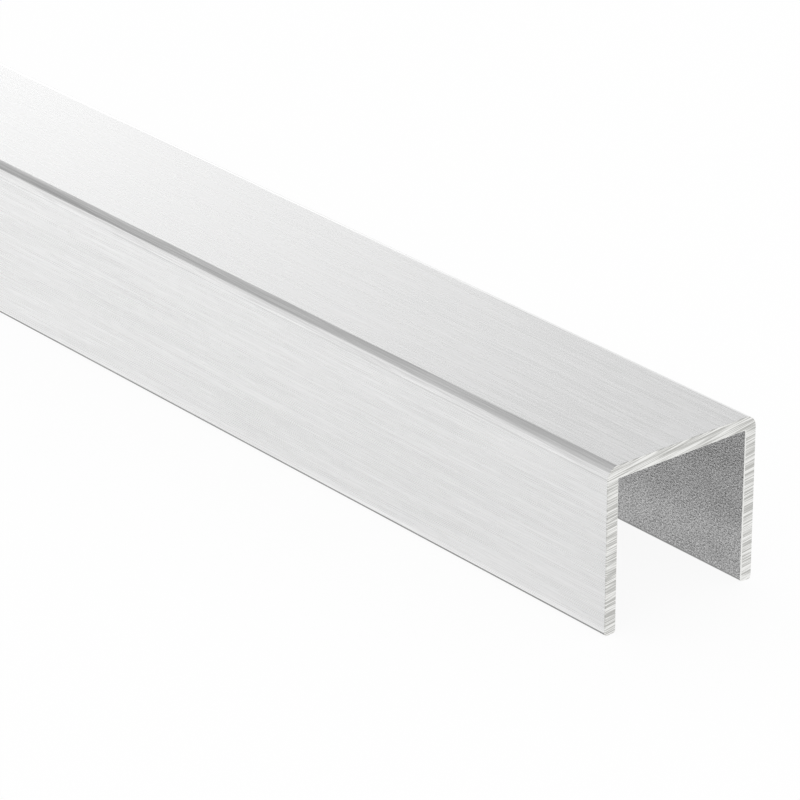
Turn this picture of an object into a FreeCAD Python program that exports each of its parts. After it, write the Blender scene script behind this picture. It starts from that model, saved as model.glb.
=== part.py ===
import FreeCAD, Part

import math
import os

# A stainless steel U-channel: one strip of sheet folded twice into a web with
# two flanges, then sawn to length. Millimetres. It lies on its two toes with
# the web on top: X runs across the web, Y along the length, Z up. The origin
# is at floor level, midway between the flanges and midway along the length.

# Driving dimensions
WIDTH = 41.275          # outside of one flange to outside of the other, 1-5/8 in
HEIGHT = 38.1           # toes to the top of the web, 1-1/2 in
LENGTH = 609.6          # one sold length, 24 in
WALL = 3.0              # sheet thickness, the same in the web and both flanges
BEND_RADIUS = 2.8       # outside of the two folds
CORNER_RADIUS = 0.2     # inside of the two folds, which are grooved nearly sharp
TOE_RADIUS = 0.75       # both long edges of each toe, rounded by edge dressing
END_BREAK = 0.25        # chamfer left all round each sawn end by deburring

# Places that follow from them
OUTER_X = WIDTH / 2
INNER_X = OUTER_X - WALL
SEAT_Z = HEIGHT - WALL
END_Y = LENGTH / 2

# How near, in millimetres, counts as in the same plane
SAME_PLANE = 1e-6


def arc(centre_x, centre_z, radius, start_deg, end_deg):
    """A round stretch of the section, from one angle to another about a centre."""
    points = []
    for angle in (start_deg, (start_deg + end_deg) / 2, end_deg):
        turn = math.radians(angle)
        x = centre_x + radius * math.cos(turn)
        z = centre_z + radius * math.sin(turn)
        points.append(FreeCAD.Vector(x, 0, z))
    return Part.Arc(*points).toShape()


def section_arcs():
    """The eight rounded corners of the section, in order round its outline."""
    toe_out = OUTER_X - TOE_RADIUS
    toe_in = INNER_X + TOE_RADIUS
    fold_x = OUTER_X - BEND_RADIUS
    fold_z = HEIGHT - BEND_RADIUS
    corner_x = INNER_X - CORNER_RADIUS
    corner_z = SEAT_Z - CORNER_RADIUS
    return [
        arc(toe_out, TOE_RADIUS, TOE_RADIUS, -90, 0),
        arc(fold_x, fold_z, BEND_RADIUS, 0, 90),
        arc(-fold_x, fold_z, BEND_RADIUS, 90, 180),
        arc(-toe_out, TOE_RADIUS, TOE_RADIUS, 180, 270),
        arc(-toe_in, TOE_RADIUS, TOE_RADIUS, -90, 0),
        arc(-corner_x, corner_z, CORNER_RADIUS, 180, 90),
        arc(corner_x, corner_z, CORNER_RADIUS, 90, 0),
        arc(toe_in, TOE_RADIUS, TOE_RADIUS, 180, 270),
    ]


def section_face():
    """The U-shaped section, with its flats drawn between the rounded corners."""
    arcs = section_arcs()
    edges = []
    for corner, following in zip(arcs, arcs[1:] + arcs[:1]):
        flat_start = corner.Vertexes[-1].Point
        flat_end = following.Vertexes[0].Point
        edges.append(corner)
        edges.append(Part.makeLine(flat_start, flat_end))
    return Part.Face(Part.Wire(edges))


def end_edges(bar):
    """Every edge that lies in the plane of either sawn end."""
    found = []
    for edge in bar.Edges:
        box = edge.BoundBox
        square_on = box.YLength < SAME_PLANE
        at_an_end = abs(abs(box.Center.y) - END_Y) < SAME_PLANE
        if square_on and at_an_end:
            found.append(edge)
    return found


def u_channel():
    """The whole channel: the section run along the length, its ends deburred."""
    section = section_face()
    section.translate(FreeCAD.Vector(0, -END_Y, 0))
    bar = section.extrude(FreeCAD.Vector(0, LENGTH, 0))
    return bar.makeChamfer(END_BREAK, end_edges(bar)).Solids[0]


os.makedirs("parts", exist_ok=True)
channel = u_channel()
channel.exportStep("parts/u_channel.step")
print("u_channel volume", round(channel.Volume, 1), "mm3, box", channel.BoundBox)
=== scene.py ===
import math

import bpy
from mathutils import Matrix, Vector, noise


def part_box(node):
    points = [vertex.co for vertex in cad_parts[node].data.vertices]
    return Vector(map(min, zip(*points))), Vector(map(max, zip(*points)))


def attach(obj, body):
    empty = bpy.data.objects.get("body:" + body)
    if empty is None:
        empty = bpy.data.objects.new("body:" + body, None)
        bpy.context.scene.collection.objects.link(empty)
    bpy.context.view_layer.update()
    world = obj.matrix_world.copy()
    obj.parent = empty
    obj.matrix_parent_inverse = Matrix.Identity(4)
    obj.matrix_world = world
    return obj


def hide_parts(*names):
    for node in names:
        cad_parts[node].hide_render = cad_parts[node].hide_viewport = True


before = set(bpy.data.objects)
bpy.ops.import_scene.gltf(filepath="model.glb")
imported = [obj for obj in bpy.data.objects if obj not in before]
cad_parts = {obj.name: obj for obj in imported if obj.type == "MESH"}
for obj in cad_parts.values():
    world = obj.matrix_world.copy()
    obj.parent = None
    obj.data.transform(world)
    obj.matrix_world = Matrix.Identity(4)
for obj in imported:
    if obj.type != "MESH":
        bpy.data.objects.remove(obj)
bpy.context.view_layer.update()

# %% [markdown]
# # A length of stainless U-channel
#
# The object is one strip of stainless sheet. A press folded it twice, so it has
# a flat web on top and two flanges that hang down from it. Its show faces are
# brushed along the length, its inside keeps the dull skin that the mill gave
# it, and its two ends are sawn square.
#
# The CAD part holds the true size. We measure its box first, because every
# position in this lesson comes from it. Blender works in metres, so a value
# in millimetres is written as a number times `MM`.

# %% Measure the CAD part
MM = 0.001
low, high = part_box("u_channel")
width = high.x - low.x
height = high.z - low.z
length = high.y - low.y
print(f"channel {width / MM:.3f} x {height / MM:.3f} x {length / MM:.1f} mm")

# %% [markdown]
# ## The camera
#
# A long lens from nearly a metre away keeps the two long sides of the channel
# almost parallel, as a maker's catalogue does. We set it up before any mesh,
# so that each later step can be looked at from the right place. It is placed
# from one corner of the part: the near end of the left fold.

# %% Place the camera
near_corner = Vector((low.x, low.y, high.z))
from_corner = Vector((-582.94, -633.38, 415.56)) * MM
look_down = 24.956
look_right = 39.834
camera_data = bpy.data.cameras.new("catalogue_lens")
camera_data.lens = 213.341
camera_data.sensor_width = 36.0
camera_data.clip_end = 100.0
camera = bpy.data.objects.new("camera", camera_data)
camera.location = near_corner + from_corner
camera.rotation_euler = (math.radians(90 - look_down), 0.0, math.radians(-look_right))
bpy.context.scene.collection.objects.link(camera)
bpy.context.scene.camera = camera
print("camera", round((camera.location - near_corner).length, 3), "m from the corner")

# %% [markdown]
# ## The section
#
# The section is a U with rounded corners. A curve object with a bevel could
# sweep it, but we want to say which faces are brushed, which are the mill's
# own skin and which were sawn. So we work the outline out ourselves.
#
# The outline is two paths that both run from the middle of the left toe to the
# middle of the right one: one round the outside, one round the inside. They
# have the same number of points, so that a row of faces can join them across
# the sawn end later. Each point is worked out for an `inset`, which is how far
# the whole outline has shrunk into the metal. That is what rounds the ends.

# %% Sizes of the section
wall = 3.0 * MM
fold_radius = 2.8 * MM
corner_radius = 0.2 * MM
toe_radius = 0.75 * MM
end_radius = 0.2 * MM

row_height = 0.1 * MM
flange_rows = round((height - fold_radius - toe_radius) / row_height)
toe_steps = 6
fold_steps = 16
web_columns = 40
hold = 0.1 * MM
print("rows down a flange:", flange_rows)


def spread(start, stop, count):
    """`count` + 1 values, evenly spaced from start to stop, both included."""
    return [start + (stop - start) * i / count for i in range(count + 1)]


def arc(centre_x, centre_z, across, radius, first, last, steps):
    """(x, z) points of an arc in degrees. `across` of -1 mirrors it sideways."""
    points = []
    for angle in spread(math.radians(first), math.radians(last), steps):
        x = centre_x + across * radius * math.cos(angle)
        points.append((x, centre_z + radius * math.sin(angle)))
    return points


# %% [markdown]
# The outside and the inside differ only in three sizes and in which way the
# metal lies, so one function makes both: `side` is +1 for the outside, where
# an inset moves a face towards the middle, and -1 for the inside, where it
# moves a face outwards. A short `hold` step beside each fold keeps the flat
# next to it perfectly flat when Blender smooths the shading.

# %% Points of the outline
def half_path(side, inset):
    """From the middle of a toe to the middle of the web, as (x, z, part) points."""
    skin_x = width / 2 if side > 0 else width / 2 - wall
    skin_z = height if side > 0 else height - wall
    bend = fold_radius if side > 0 else corner_radius
    bend_x = skin_x - bend
    bend_z = skin_z - bend
    toe_x = skin_x - side * toe_radius
    toe = [(width / 2 - wall / 2, inset)]
    toe += arc(toe_x, toe_radius, side, toe_radius - inset, -90, 0, toe_steps)
    flange_z = spread(toe_radius, bend_z, flange_rows)[1:-1]
    flange = [(skin_x - side * inset, z) for z in flange_z]
    fold = arc(bend_x, bend_z, 1, bend - side * inset, 0, 90, fold_steps)
    web_x = [bend_x - hold] + spread(bend_x, 0, web_columns)[1:]
    web = [(x, skin_z - side * inset) for x in web_x]
    parts = {"toe": toe, "flange": flange, "fold": fold, "web": web}
    return [(x, z, part) for part, points in parts.items() for x, z in points]


def whole_path(side, inset):
    """The half path and its mirror image, from the left toe to the right toe."""
    half = half_path(side, inset)
    left = [(-x, z, part) for x, z, part in half]
    return left + half[-2::-1]


stations = len(whole_path(+1, 0.0))
print("stations round the section:", stations)

# %% [markdown]
# ## Marks that the saw left
#
# A saw drags fine, straight lines across a cut. Here they all run the same
# way, a few degrees off level, so they are short on the ends of the flanges and
# long on the end of the web. We could fake them with a bump alone, but the cut
# end is the part that people look at, so the broad ones are modelled: up to two
# hundredths of a millimetre deep, from smooth noise that changes quickly with
# height and slowly sideways. A finer noise at half the strength breaks them up,
# and a shift keeps the two ends from being alike. `noise.noise` gives the same
# answer on every run.

# %% Depth of the saw marks
saw_pitch = 0.21 * MM
saw_run = 16.0 * MM
saw_depth = 0.02 * MM
saw_slant = 7
saw_slope = math.tan(math.radians(saw_slant))
finer_run = 2
finer_pitch = 2.3
finer_share = 0.5
end_shift = 9.7
finer_shift = 5.3


def saw_mark(x, z, end):
    """How proud the cut face stands at one place, from about -1 to 1."""
    level = z - saw_slope * x
    place = Vector((x / saw_run, end * end_shift, level / saw_pitch))
    finer = Vector((x / saw_run * finer_run, end * finer_shift, level / saw_pitch * finer_pitch))
    return noise.noise(place) + finer_share * noise.noise(finer)


samples = [saw_mark(0.0, z * row_height, 1) for z in range(flange_rows)]
print(f"saw marks from {min(samples):.2f} to {max(samples):.2f}")

# %% [markdown]
# ## Building the channel
#
# A list of rings runs from the near end to the far end. Each ring is the
# outline at one place along the length. At both ends the rings shrink a little
# as they near the cut, which rounds the sharp rim as a file would. Then the
# two cut faces are filled with rows of small faces that carry the saw marks.
#
# Every corner of every face also gets a place in two UV maps. `grain` lies
# along the direction in which the metal was worked, and the brushed finish
# uses it to stretch its highlights. `OFBake` lays the faces out side by side
# without overlaps, the long faces as long strips, for anyone who wants to turn
# the finishes into images.

# %% Rings along the length
rim_steps = 4
body_steps = 8


def ring_places():
    """(y, inset) of each ring, from the near cut to the far cut."""
    rim = []
    for angle in spread(0, math.pi / 2, rim_steps):
        depth = end_radius * (1 - math.sin(angle))
        rim.append((depth, end_radius * (1 - math.cos(angle))))
    near = [(low.y + depth, inset) for depth, inset in reversed(rim)]
    far = [(high.y - depth, inset) for depth, inset in rim]
    start, stop = near[-1][0], far[0][0]
    middle = spread(start, stop, body_steps)[1:-1]
    held = [start + hold] + middle + [stop - hold]
    return near + [(y, 0.0) for y in held] + far


places = ring_places()
print("rings:", len(places), "first", places[0], "last", places[-1])

# %% [markdown]
# The vertices come first: all the rings in order, and then the inner points of
# the two cut faces. A cut face is a grid between the outside path and the
# inside path. Its rim is shared with the first or last ring, so the finished
# mesh is closed, with no seam between the parts.

# %% Vertices
last_station = stations - 1
ring_size = 2 * stations - 2
cut_columns = 20
saw_middle = 0.6
saw_swing = 0.4
vertices = []


def ring_points(y, inset):
    """All the points of one ring: outside left to right, then inside back again."""
    loop = whole_path(+1, inset) + whole_path(-1, inset)[-2:0:-1]
    return [(x, y, z) for x, z, part in loop]


for y, inset in places:
    vertices += ring_points(y, inset)


def ring_vertex(ring, side, station):
    """Number of the vertex at a station of the outside (+1) or inside (-1) path."""
    if side > 0 or station in (0, last_station):
        return ring * ring_size + station
    return ring * ring_size + ring_size - station


print("vertices in the rings:", len(vertices))

# %% [markdown]
# The inner points of a cut face lie evenly between the outside path and the
# inside path. Each one sinks a little below the cut, less on a ridge than in a
# groove, so the face never stands out past the true length.

# %% Inner vertices of the cut faces
saw_heights = {}


def cut_face_points(end):
    """Adds the inner points of a cut face, +1 for the far one, and numbers them."""
    outer = whole_path(+1, end_radius)
    inner = whole_path(-1, end_radius)
    y = high.y if end > 0 else low.y
    first = len(vertices)
    for station in range(1, last_station):
        (x_out, z_out, part), (x_in, z_in, part) = outer[station], inner[station]
        for column in range(1, cut_columns):
            share = column / cut_columns
            x = x_out + (x_in - x_out) * share
            z = z_out + (z_in - z_out) * share
            mark = saw_mark(x, z, end)
            saw_heights[len(vertices)] = mark
            sunk = saw_depth * (saw_middle - saw_swing * mark)
            vertices.append((x, y - end * sunk, z))
    return first


cut_first = {-1: cut_face_points(-1), +1: cut_face_points(+1)}
rings = len(places)


def cut_vertex(end, station, column):
    """Number of the vertex in a column of a cut face, 0 outside to the last inside."""
    ring = rings - 1 if end > 0 else 0
    if column == 0 or station in (0, last_station):
        return ring_vertex(ring, +1, station)
    if column == cut_columns:
        return ring_vertex(ring, -1, station)
    return cut_first[end] + (station - 1) * (cut_columns - 1) + column - 1


print("vertices in all:", len(vertices))

# %% [markdown]
# ## Strips of the flat map
#
# `OFBake` is a sheet of long horizontal strips, one for each run of faces. The
# outside gets the tallest strip, because its fine brushing shows the most. The
# saw-cut faces and the rims are tiny, so they get far more room for their size.

# %% Strips of the OFBake map
margin = 0.012
strip_heights = {
    "outside": 0.50,
    "inside": 0.20,
    "near cut": 0.055,
    "far cut": 0.055,
    "near rim outside": 0.012,
    "near rim inside": 0.012,
    "far rim outside": 0.012,
    "far rim inside": 0.012,
}
strip_lows = {}
filled = margin
for strip, tall in strip_heights.items():
    strip_lows[strip] = filled
    filled += tall + margin
print(f"the strips fill {filled:.3f} of the map's height")


def in_strip(strip, along, across):
    """A place in the flat map, from shares of a strip's length and height."""
    u = margin + along * (1 - 2 * margin)
    return (u, strip_lows[strip] + across * strip_heights[strip])


def shares(path):
    """How far along its path each point lies, from 0 to 1."""
    reached = [0.0]
    for (x0, z0, _), (x1, z1, _) in zip(path, path[1:]):
        reached.append(reached[-1] + math.hypot(x1 - x0, z1 - z0))
    return [step / reached[-1] for step in reached]


# %% [markdown]
# ## The faces
#
# Each face is recorded with the finish it wears and its corners in both maps.
# The finishes follow from where a face is: the outside flats are brushed, the
# folds are stretched metal darkened partly with painted shade, the toes are
# dressed and darkened with painted shade, the inside is the mill's skin and the
# two ends are sawn. The saw's finish carries on over the outer rims, and the
# inner rims are filed and lightened with a painted highlight.

# %% Collect the faces
finishes = ["brushed_flat", "stretched_fold_painted_shade", "mill_skin", "dressed_toe_painted_shade", "sawn_end", "filed_rim_painted_highlight"]
faces = []
face_finish = []
face_grain = []
face_flat = []
grain_scale = 10.0


def add_face(corners, finish, flip):
    """Records a face. Each corner is (vertex, place in grain map, place in OFBake)."""
    turned = corners[::-1] if flip else corners
    faces.append([vertex for vertex, grain, flat in turned])
    face_finish.append(finishes.index(finish))
    face_grain.extend(grain for vertex, grain, flat in turned)
    face_flat.extend(flat for vertex, grain, flat in turned)


def long_finish(side, first_part, second_part):
    """The finish between two stations of the outside or the inside."""
    kinds = {first_part, second_part}
    if kinds == {"toe"}:
        return "dressed_toe_painted_shade"
    if side < 0:
        return "mill_skin"
    return "stretched_fold_painted_shade" if kinds == {"fold"} else "brushed_flat"


print("kinds of finish:", len(finishes))

# %% [markdown]
# The long faces join each ring to the next. Those on a rounded rim get a thin
# strip of the flat map to themselves.

# %% Faces along the length
def body_faces(side, face_name):
    """The long faces of the outside or the inside, rims included."""
    path = whole_path(side, 0.0)
    across = shares(path)
    along = [(y - low.y) / length for y, inset in places]
    for ring in range(rings - 1):
        near_rim = ring < rim_steps
        far_rim = ring >= rings - 1 - rim_steps
        for station in range(last_station):
            finish = long_finish(side, path[station][2], path[station + 1][2])
            corners = []
            for i, j in ((0, 0), (1, 0), (1, 1), (0, 1)):
                vertex = ring_vertex(ring + j, side, station + i)
                x, y, z = vertices[vertex]
                share = across[station + i]
                flat = in_strip(face_name, along[ring + j], share)
                if near_rim:
                    turn = (ring + j) / rim_steps
                    flat = in_strip("near rim " + face_name, share, turn)
                if far_rim:
                    turn = (rings - 1 - ring - j) / rim_steps
                    flat = in_strip("far rim " + face_name, share, turn)
                corners.append((vertex, (y * grain_scale, share), flat))
            if near_rim or far_rim:
                finish = "sawn_end" if side > 0 else "filed_rim_painted_highlight"
            add_face(corners, finish, side < 0)


body_faces(+1, "outside")
body_faces(-1, "inside")
print("long faces:", len(faces))


# %% [markdown]
# On the middle line of each toe the outside and the inside path meet in one
# point, so some corners of a face coincide there. Only one of them is kept,
# which leaves a triangle.

# %% Faces of the cuts
def cut_faces(end, strip):
    """The small faces of one sawn end."""
    across_flat = shares(whole_path(+1, end_radius))
    for station in range(last_station):
        for column in range(cut_columns):
            corners = []
            for i, j in ((0, 0), (1, 0), (1, 1), (0, 1)):
                vertex = cut_vertex(end, station + i, column + j)
                x, y, z = vertices[vertex]
                grain = (x * grain_scale, z * grain_scale)
                share = (column + j) / cut_columns
                flat = in_strip(strip, across_flat[station + i], share)
                corners.append((vertex, grain, flat))
            single = []
            for corner in corners:
                if corner[0] not in [kept[0] for kept in single]:
                    single.append(corner)
            add_face(single, "sawn_end", end < 0)


cut_faces(-1, "near cut")
cut_faces(+1, "far cut")
print("faces in all:", len(faces))

# %% [markdown]
# `from_pydata` turns the lists into a mesh. The depth of each saw mark is also
# stored on the vertices as `saw_mark`, so that the colour of the cut can follow
# the very same lines as its shape.

# %% Make the mesh
mesh = bpy.data.meshes.new("channel")
mesh.from_pydata(vertices, [], faces)
mesh.polygons.foreach_set("material_index", face_finish)
mesh.polygons.foreach_set("use_smooth", [True] * len(faces))
for map_name, corners in (("grain", face_grain), ("OFBake", face_flat)):
    layer = mesh.uv_layers.new(name=map_name)
    layer.uv.foreach_set("vector", [value for corner in corners for value in corner])
marks = mesh.attributes.new("saw_mark", "FLOAT", "POINT")
marks.data.foreach_set("value", [saw_heights.get(i, 0.0) for i in range(len(vertices))])
mesh.validate()
mesh.update()
channel = bpy.data.objects.new("channel", mesh)
bpy.context.scene.collection.objects.link(channel)
print("channel mesh:", len(mesh.vertices), "vertices,", len(mesh.polygons), "faces")

# %% [markdown]
# ## Finishes
#
# All six finishes are the same steel, so all are fully metallic and differ in
# colour, roughness and relief. Each one is made from noise, with no images.
# The noise is read at the point on the object, and a Mapping node of the
# TEXTURE kind stretches it: the node's scale is the size of one spot in metres,
# and its rotation turns the spots. A spot 0.3 mm across and 30 mm long is a
# hairline. Because it is solid noise, it runs over the folds unbroken.

# %% Helpers for the finishes
def new_finish(name, roughness, anisotropy):
    """A metallic material with its Principled shader, ready for colour and relief."""
    material = bpy.data.materials.new(name)
    material.use_nodes = True
    shader = material.node_tree.nodes["Principled BSDF"]
    shader.inputs["Metallic"].default_value = 1.0
    shader.inputs["Roughness"].default_value = roughness
    shader.inputs["Anisotropic"].default_value = anisotropy
    if anisotropy:
        tangent = material.node_tree.nodes.new("ShaderNodeTangent")
        tangent.direction_type = "UV_MAP"
        tangent.uv_map = "grain"
        material.node_tree.links.new(tangent.outputs["Tangent"], shader.inputs["Tangent"])
    return material, shader


def grain(material, size, detail=2.0, turn=(0, 0, 0)):
    """Noise from 0 to 1 whose spots are `size` metres long along X, Y and Z."""
    nodes, links = material.node_tree.nodes, material.node_tree.links
    place = nodes.new("ShaderNodeTexCoord")
    stretch = nodes.new("ShaderNodeMapping")
    stretch.vector_type = "TEXTURE"
    stretch.inputs["Scale"].default_value = size
    stretch.inputs["Rotation"].default_value = [math.radians(angle) for angle in turn]
    speckle = nodes.new("ShaderNodeTexNoise")
    speckle.inputs["Scale"].default_value = 1.0
    speckle.inputs["Detail"].default_value = detail
    links.new(place.outputs["Object"], stretch.inputs["Vector"])
    links.new(stretch.outputs["Vector"], speckle.inputs["Vector"])
    return speckle.outputs["Fac"]


def remap(material, value, low_in, high_in, low_out, high_out):
    """Slides a value from one range to another, and clamps it."""
    node = material.node_tree.nodes.new("ShaderNodeMapRange")
    node.inputs["From Min"].default_value = low_in
    node.inputs["From Max"].default_value = high_in
    node.inputs["To Min"].default_value = low_out
    node.inputs["To Max"].default_value = high_out
    material.node_tree.links.new(value, node.inputs["Value"])
    return node.outputs["Result"]


def combine(material, first, second, operation):
    """One sum of two values: ADD, MULTIPLY and so on."""
    node = material.node_tree.nodes.new("ShaderNodeMath")
    node.operation = operation
    for value, socket in ((first, node.inputs[0]), (second, node.inputs[1])):
        if isinstance(value, float):
            socket.default_value = value
        else:
            material.node_tree.links.new(value, socket)
    return node.outputs["Value"]


def shade(material, value, dark, light):
    """A colour between dark and light, chosen by a value from 0 to 1."""
    node = material.node_tree.nodes.new("ShaderNodeMix")
    node.data_type = "RGBA"
    node.inputs["A"].default_value = (*dark, 1.0)
    node.inputs["B"].default_value = (*light, 1.0)
    material.node_tree.links.new(value, node.inputs["Factor"])
    return node.outputs["Result"]


def grey(value):
    """A neutral colour."""
    return (value, value, value)


def warm_grey(value):
    """A grey with a little less blue in it."""
    return (value, value, value - 0.02)


def relief(material, shader, value, depth):
    """Pushes the surface in and out by up to `depth` metres, in the shading only."""
    node = material.node_tree.nodes.new("ShaderNodeBump")
    node.inputs["Strength"].default_value = 1.0
    node.inputs["Distance"].default_value = depth
    material.node_tree.links.new(value, node.inputs["Height"])
    material.node_tree.links.new(node.outputs["Normal"], shader.inputs["Normal"])


print("finishes to make:", ", ".join(finishes))

# %% [markdown]
# ### Brushed flats
#
# An abrasive belt runs along the sheet and leaves fine scratches, some short
# and some long. We mix four grains: fine hairs, shorter hairs that lie a few
# degrees askew, longer streaks, and a broad cloudiness from uneven pressure of
# the belt. The mix tints the colour by a few percent, and makes a light hair a
# little rougher than a dark one, as a fresh scratch is. The relief in the
# shading comes from the fine hairs alone.

# %% Brushed flats
brush_stretch = 0.6
rough_swing = 0.05
askew = (2, 0, -3)
mix_dark = 0.65
mix_light = 1.00


def brushed_finish(name, dark, light, roughness, depth):
    """Scratches along Y, fine hairs over longer streaks."""
    material, shader = new_finish(name, roughness, brush_stretch)
    hairs = grain(material, (0.36 * MM, 30 * MM, 0.25 * MM), 1.0)
    layers = [
        (hairs, 1.0),
        (grain(material, (0.30 * MM, 14 * MM, 0.22 * MM), 1.0, askew), 0.5),
        (grain(material, (0.9 * MM, 60 * MM, 0.9 * MM)), 0.10),
        (grain(material, (9 * MM, 90 * MM, 9 * MM), 1.0), 0.05),
    ]
    mixed = 0.0
    for layer, strength in layers:
        mixed = combine(material, mixed, combine(material, layer, strength, "MULTIPLY"), "ADD")
    level = remap(material, mixed, mix_dark, mix_light, 0.0, 1.0)
    colour = shade(material, level, dark, light)
    tree = material.node_tree
    tree.links.new(colour, shader.inputs["Base Color"])
    rough = remap(material, level, 0.0, 1.0, roughness - rough_swing, roughness + rough_swing)
    tree.links.new(rough, shader.inputs["Roughness"])
    relief(material, shader, hairs, depth)
    return material


brushed_flat = brushed_finish("brushed_flat", grey(0.79), grey(0.91), 0.30, 0.012 * MM)
print("made", brushed_flat.name)

# %% [markdown]
# ### Stretched folds, with painted shade
#
# The press stretches the sheet where it bends, and the die rubs it a little
# smoother. The brush lines still run through, but a fold shows sharper
# reflections than a flat, so it gets a lower roughness and a fainter relief.
# A darker colour sets the folds off as two grey lines. That darker colour is
# partly painted shade: it deepens the dark band that a fold shows.

# %% Stretched folds, with painted shade
# The folds' darker colour is partly painted shade.
stretched_fold_painted_shade = brushed_finish("stretched_fold_painted_shade", grey(0.67), grey(0.81), 0.14, 0.003 * MM)
print("made", stretched_fold_painted_shade.name)

# %% [markdown]
# ### Mill skin
#
# Nobody brushed the inside. It keeps the dull skin from the rolling mill: tiny
# shallow pits, slightly longer in the rolling direction, and soft clouds. The
# pits need real relief in the shading, because it is their lit and shaded
# sides that make the skin look like leather from close by.

# %% Mill skin
def mill_finish():
    """Dull, mottled skin with tiny pits."""
    material, shader = new_finish("mill_skin", 0.38, 0.0)
    pits = grain(material, (0.36 * MM, 0.45 * MM, 0.36 * MM))
    clouds = grain(material, (7 * MM, 10 * MM, 7 * MM))
    mixed = combine(material, pits, combine(material, clouds, 0.2, "MULTIPLY"), "ADD")
    level = remap(material, mixed, 0.45, 0.75, 0.0, 1.0)
    colour = shade(material, level, grey(0.31), grey(0.70))
    material.node_tree.links.new(colour, shader.inputs["Base Color"])
    relief(material, shader, pits, 0.3 * MM)
    return material


mill_skin = mill_finish()
print("made", mill_skin.name)

# %% [markdown]
# ### Sawn ends, toes and rims
#
# The colour of a sawn end follows the `saw_mark` values that already shape the
# mesh, so the broad light lines lie on ridges and the dark ones in grooves: a
# painted highlight on each ridge and painted shade in each groove. Finer noise
# adds hairlines between them, at the same slant. The toes are the dressed edges
# of the sheet, made dark with painted shade where they stand on the floor. On
# the inner rim a file has left a narrow facet, made bright with a painted
# highlight.

# %% Sawn ends
def sawn_finish():
    """Straight lines across the cut, with a painted highlight on the ridges and painted shade in
    the grooves.
    """
    material, shader = new_finish("sawn_end", 0.35, 0.5)
    nodes, links = material.node_tree.nodes, material.node_tree.links
    mark = nodes.new("ShaderNodeAttribute")
    mark.attribute_name = "saw_mark"
    # Ridges get a painted highlight and grooves painted shade.
    ridges = remap(material, mark.outputs["Fac"], -0.6, 0.6, 0.34, 0.66)
    lines = grain(material, (7 * MM, 7 * MM, 0.19 * MM), 0.0, (0, -saw_slant, 0))
    level = combine(material, ridges, combine(material, lines, 1.2, "MULTIPLY"), "ADD")
    level = remap(material, level, 0.92, 1.28, 0.0, 1.0)
    colour = shade(material, level, warm_grey(0.51), warm_grey(0.90))
    links.new(colour, shader.inputs["Base Color"])
    relief(material, shader, lines, 0.03 * MM)
    return material


sawn_end = sawn_finish()
print("made", sawn_end.name)

# %% [markdown]
# The toes and the inner rims are brushed too, so the same function makes them.
# The toes are darker than the flats, which is painted shade where they meet the
# floor, and the rims are lighter, which is a painted highlight. Then the mesh
# gets its finishes, in the order in which the faces were numbered.

# %% Toes and rims
# Dark toes: painted shade where they stand on the floor.
dressed_toe_painted_shade = brushed_finish("dressed_toe_painted_shade", grey(0.22), grey(0.32), 0.3, 0.003 * MM)
# Light inner rims: a painted highlight on the filed edge.
filed_rim_painted_highlight = brushed_finish("filed_rim_painted_highlight", warm_grey(0.84), warm_grey(0.95), 0.3, 0.003 * MM)
print("made", dressed_toe_painted_shade.name, "and", filed_rim_painted_highlight.name)
for finish in finishes:
    mesh.materials.append(bpy.data.materials[finish])
print("finishes on the channel:", [m.name for m in mesh.materials])

# %% [markdown]
# ## The studio
#
# The channel stands on its toes on a wide white floor under a white sky.
# Metal has no colour of its own to speak of: it shows what is round it, so the
# white surroundings give the steel its pale tone.

# %% Floor
floor_white = 0.95
evenly_white_share = 0.92
floor_reach = 12.0
floor_gap = 0.02 * MM


def white_floor():
    """A plain white floor: it takes a soft shadow, but looks evenly white."""
    material = bpy.data.materials.new("studio_floor")
    material.use_nodes = True
    nodes, links = material.node_tree.nodes, material.node_tree.links
    nodes.remove(nodes["Principled BSDF"])
    paint = nodes.new("ShaderNodeBsdfDiffuse")
    paint.inputs["Color"].default_value = (*grey(floor_white), 1.0)
    glow = nodes.new("ShaderNodeEmission")
    ray = nodes.new("ShaderNodeLightPath")
    seen = combine(material, ray.outputs["Is Camera Ray"], ray.outputs["Is Glossy Ray"], "MAXIMUM")
    seen = combine(material, seen, ray.outputs["Is Transmission Ray"], "MAXIMUM")
    share = combine(material, seen, evenly_white_share, "MULTIPLY")
    mix = nodes.new("ShaderNodeMixShader")
    links.new(share, mix.inputs["Fac"])
    links.new(paint.outputs["BSDF"], mix.inputs[1])
    links.new(glow.outputs["Emission"], mix.inputs[2])
    links.new(mix.outputs["Shader"], nodes["Material Output"].inputs["Surface"])
    return material


floor_mesh = bpy.data.meshes.new("floor")
across = ((-1, -1), (1, -1), (1, 1), (-1, 1))
corners = [(x * floor_reach, y * floor_reach, 0) for x, y in across]
floor_mesh.from_pydata(corners, [], [(0, 1, 2, 3)])
floor_mesh.materials.append(white_floor())
floor = bpy.data.objects.new("floor", floor_mesh)
floor.location.z = low.z - floor_gap
bpy.context.scene.collection.objects.link(floor)
print("floor at", round(floor.location.z / MM, 3), "mm")

# %% [markdown]
# ### The sky
#
# A plain white world at strength 1 lights the channel evenly from all round,
# so a colour renders about as it was written. Nothing in the scene is a lamp.

# %% Sky
world = bpy.data.worlds.new("studio_sky")
world.use_nodes = True
sky = world.node_tree.nodes["Background"]
sky.inputs["Color"].default_value = (1.0, 1.0, 1.0, 1.0)
sky.inputs["Strength"].default_value = 1.0
bpy.context.scene.world = world
bpy.context.scene.view_settings.view_transform = "Standard"
print("sky strength", sky.inputs["Strength"].default_value)
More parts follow.
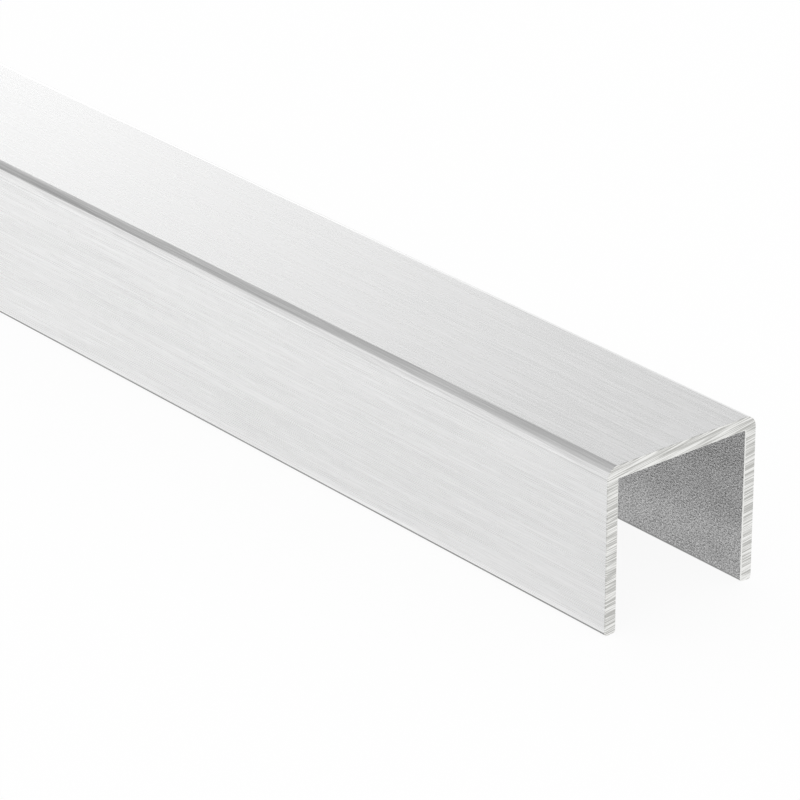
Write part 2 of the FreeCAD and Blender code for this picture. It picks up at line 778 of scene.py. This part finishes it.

# %% [markdown]
# ## The reflection tunnel
#
# Shiny metal shows what stands round it, so a studio sets up white boards and
# grey flags beside it. Every long face of the channel mirrors one lengthwise
# strip of its surroundings, so our boards are rolled into a half tunnel round
# the channel's own length. An angle round the tunnel then belongs to one face,
# and a place along the tunnel to one place on the channel. Only reflections
# see it, so it can't darken the floor or the sky. The boards are graded for
# this one camera: from elsewhere the faces mirror other parts of them.

# %% A glowing sheet
def glowing_sheet(name, points, columns, glow, cover):
    """A grid of points that glows; `cover` of 0 lets the sky behind it through."""
    sheet_mesh = bpy.data.meshes.new(name)
    rows = len(points) // columns
    quads = []
    for row in range(rows - 1):
        for column in range(columns - 1):
            corner = row * columns + column
            quads.append((corner, corner + 1, corner + columns + 1, corner + columns))
    sheet_mesh.from_pydata(points, [], quads)
    material = bpy.data.materials.new(name)
    material.use_nodes = True
    nodes, links = material.node_tree.nodes, material.node_tree.links
    nodes.remove(nodes["Principled BSDF"])
    light = nodes.new("ShaderNodeEmission")
    clear = nodes.new("ShaderNodeBsdfTransparent")
    mix = nodes.new("ShaderNodeMixShader")
    sockets = {"glow": (glow, light.inputs["Strength"]), "cover": (cover, mix.inputs["Fac"])}
    for label, (values, socket) in sockets.items():
        sheet_mesh.attributes.new(label, "FLOAT", "POINT").data.foreach_set("value", values)
        reader = nodes.new("ShaderNodeAttribute")
        reader.attribute_name = label
        links.new(reader.outputs["Fac"], socket)
    links.new(clear.outputs["BSDF"], mix.inputs[1])
    links.new(light.outputs["Emission"], mix.inputs[2])
    links.new(mix.outputs["Shader"], nodes["Material Output"].inputs["Surface"])
    sheet_mesh.materials.append(material)
    sheet = bpy.data.objects.new(name, sheet_mesh)
    bpy.context.scene.collection.objects.link(sheet)
    for kind in ("camera", "diffuse", "transmission", "volume_scatter", "shadow"):
        setattr(sheet, "visible_" + kind, False)
    print(name, "has", len(quads), "cells")


def between(value, start, stop, first, last):
    """Slides from first to last while value goes from start to stop, then stays."""
    share = min(1.0, max(0.0, (value - start) / (stop - start)))
    return first + (last - first) * share


print("halfway between 2 and 4:", between(0.5, 0.0, 1.0, 2.0, 4.0))

# %% [markdown]
# Seen through the camera, the web mirrors what stands at 36 degrees, up to the
# right. The left fold carries its reflection on from there, over the top and
# down to the floor on the left. The right fold carries it the other way, down
# to the floor on the right. So the tunnel is a table of angles with the
# brightness at each: a board for the web and the right fold, a grey flag
# overhead that makes the left fold's dark band, and a board low on the left.

# %% The tunnel
tunnel_radius = 0.6
tunnel_centre = low.z + 0.03
tunnel_start = low.y - 0.1
tunnel_stop = high.y + 1.1
tunnel_columns = 48
tunnel_rows = 180
tunnel_fade = 0.2
near_view = low.y + 0.98 * tunnel_radius
far_view = near_view + 0.265
web_near = near_view - 0.13
web_far = far_view + 0.16


def tunnel_light(angle, y):
    """Brightness in the tunnel at an angle in degrees, 0 right, 90 above, 180 left."""
    web_board = between(y, web_near, web_far, 0.705, 1.35)
    flag_right = between(y, near_view, far_view, 0.52, 0.70)
    flag_left = between(y, near_view, far_view, 0.72, 0.46)
    left_board = between(y, near_view, far_view, 0.93, 1.02)
    stops = [
        (20, web_board * 1.3),
        (26, web_board),
        (45, web_board),
        (48, flag_right),
        (50, flag_right),
        (132, flag_left),
        (136, flag_left),
        (140, left_board),
        (160, left_board),
        (176, left_board * 1.1),
    ]
    for (start, first), (stop, last) in zip(stops, stops[1:]):
        if angle < stop:
            return between(angle, start, stop, first, last)
    return stops[-1][1]


tunnel_points, tunnel_glow, tunnel_cover = [], [], []
for angle in spread(1.0, 179.0, tunnel_rows):
    for y in spread(tunnel_start, tunnel_stop, tunnel_columns - 1):
        x = tunnel_radius * math.cos(math.radians(angle))
        z = tunnel_centre + tunnel_radius * math.sin(math.radians(angle))
        tunnel_points.append((x, y, z))
        tunnel_glow.append(tunnel_light(angle, y))
        ends = min(y - tunnel_start, tunnel_stop - y)
        tunnel_cover.append(between(ends, 0.0, tunnel_fade, 0.0, 1.0))
glowing_sheet("tunnel", tunnel_points, tunnel_columns, tunnel_glow, tunnel_cover)

# %% [markdown]
# The left flange leans on nothing but the floor for its reflection: it shows
# the strip of floor beside it. So a board lies there too. It grows brighter
# towards the far end, and from about a hand's width away, where the lower half
# of the fold looks.

# %% Board on the floor
board_near = low.y - 0.1
board_far = high.y + 0.3
board_width = 0.3
board_cells = 40
board_fade = 0.1
board_gap = 2 * MM
board_height = low.z + 0.2 * MM

board_points, board_glow, board_cover = [], [], []
for distance in spread(board_gap, board_width, board_cells):
    for y in spread(board_near, board_far, board_cells):
        board_points.append((low.x - distance, y, board_height))
        strip = between(distance, 0.04, 0.16, 1.0, 1.2)
        board_glow.append(strip * between(y, board_near, board_far, 0.79, 1.275))
        ends = min(y - board_near, board_far - y, board_width - distance)
        board_cover.append(between(ends, 0.0, board_fade, 0.0, 1.0))
glowing_sheet("floor_board", board_points, board_cells + 1, board_glow, board_cover)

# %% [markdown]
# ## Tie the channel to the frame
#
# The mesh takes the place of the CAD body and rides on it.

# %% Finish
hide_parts("u_channel")
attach(channel, "root")
